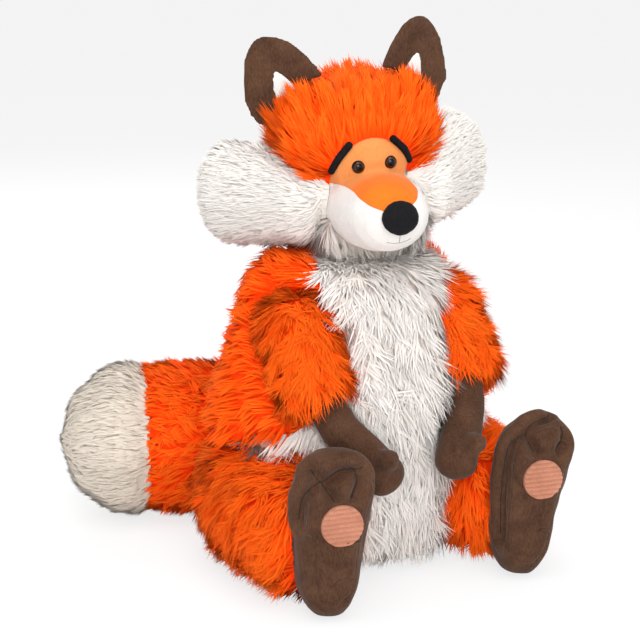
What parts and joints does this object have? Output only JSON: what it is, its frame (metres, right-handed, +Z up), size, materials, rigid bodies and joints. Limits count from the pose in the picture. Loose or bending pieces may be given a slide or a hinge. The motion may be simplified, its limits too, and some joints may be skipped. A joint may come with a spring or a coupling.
{
  "type": "seated plush fox",
  "caption": "Seated plush fox with shaggy orange and white fur, a large turned head, stuffed cheeks, brown mitten paws, upright feet and a thick white-tipped tail.",
  "frame": {"origin": "middle of the seat, on the surface that the fox sits on", "axes": "+Z up; the fox's chest faces -Y; its right side is -X"},
  "size_m": [0.3084, 0.3781, 0.4241],
  "materials": {
    "orange_fur": "long shaggy pile, matt",
    "white_fur": "long shaggy pile, matt",
    "pale_orange_plush": "short plush, matt",
    "white_plush": "short plush, matt",
    "brown_plush": "short plush, matt",
    "pink_corduroy": "fine corduroy, matt",
    "black_plush": "short plush, matt",
    "glossy_eye": "polished, nearly black",
    "washer_plastic": "moulded, matt",
    "dark_thread": "twisted thread",
    "fibre_stuffing": "loose polyester fibre",
    "pellet_cloth": "woven bag"
  },
  "bodies": {
    "torso": {"torso_back_fur": "orange_fur", "belly_panel_fur": "white_fur", "pellet_bag": "pellet_cloth", "torso_stuffing": "fibre_stuffing"},
    "head": {"brow_left": "black_plush", "eye_left": "glossy_eye", "eye_washer_left": "washer_plastic", "brow_right": "black_plush", "eye_right": "glossy_eye", "eye_washer_right": "washer_plastic", "nose": "black_plush", "face_panel": "pale_orange_plush", "muzzle_panel": "white_plush", "mouth_stitches": "dark_thread", "head_crown_fur": "orange_fur", "throat_fur": "white_fur", "cheek_fur_left": "white_fur", "cheek_fur_right": "white_fur", "head_stuffing": "fibre_stuffing", "ear_back_left": "brown_plush", "ear_lining_left": "white_plush", "ear_back_right": "brown_plush", "ear_lining_right": "white_plush"},
    "arm_left": {"sleeve_fur_left": "orange_fur", "forearm_paw_left": "brown_plush", "arm_stuffing_left": "fibre_stuffing"},
    "arm_right": {"sleeve_fur_right": "orange_fur", "forearm_paw_right": "brown_plush", "arm_stuffing_right": "fibre_stuffing"},
    "leg_left": {"thigh_fur_left": "orange_fur", "foot_upper_left": "brown_plush", "foot_sole_left": "brown_plush", "leg_stuffing_left": "fibre_stuffing", "paw_pad_left": "pink_corduroy", "toe_stitches_left": "dark_thread"},
    "leg_right": {"thigh_fur_right": "orange_fur", "foot_upper_right": "brown_plush", "foot_sole_right": "brown_plush", "leg_stuffing_right": "fibre_stuffing", "paw_pad_right": "pink_corduroy", "toe_stitches_right": "dark_thread"},
    "tail": {"tail_base_fur": "orange_fur", "tail_tip_fur": "white_fur", "tail_stuffing": "fibre_stuffing"}
  },
  "joints": [
    {"name": "neck_turn", "type": "hinge", "parent": "torso", "child": "head", "pos_m": [0, 0.008, 0.238], "axis": [0, 0, 1], "range_deg": [-28, 62]},
    {"name": "shoulder_left", "type": "hinge", "parent": "torso", "child": "arm_left", "pos_m": [0.066, -0.02, 0.198], "axis": [-1, 0, 0], "range_deg": [0, 45]},
    {"name": "shoulder_right", "type": "hinge", "parent": "torso", "child": "arm_right", "pos_m": [-0.066, -0.02, 0.198], "axis": [-1, 0, 0], "range_deg": [0, 45]},
    {"name": "hip_left", "type": "hinge", "parent": "torso", "child": "leg_left", "pos_m": [0.086, 0.014, 0.054], "axis": [0, 0, 1], "range_deg": [0, 30]},
    {"name": "hip_right", "type": "hinge", "parent": "torso", "child": "leg_right", "pos_m": [-0.086, 0.014, 0.054], "axis": [0, 0, -1], "range_deg": [0, 30]},
    {"name": "tail_seam", "type": "hinge", "parent": "torso", "child": "tail", "pos_m": [0, 0.088, 0.0655], "axis": [0, 1, 0], "range_deg": [0, 180]}
  ]
}
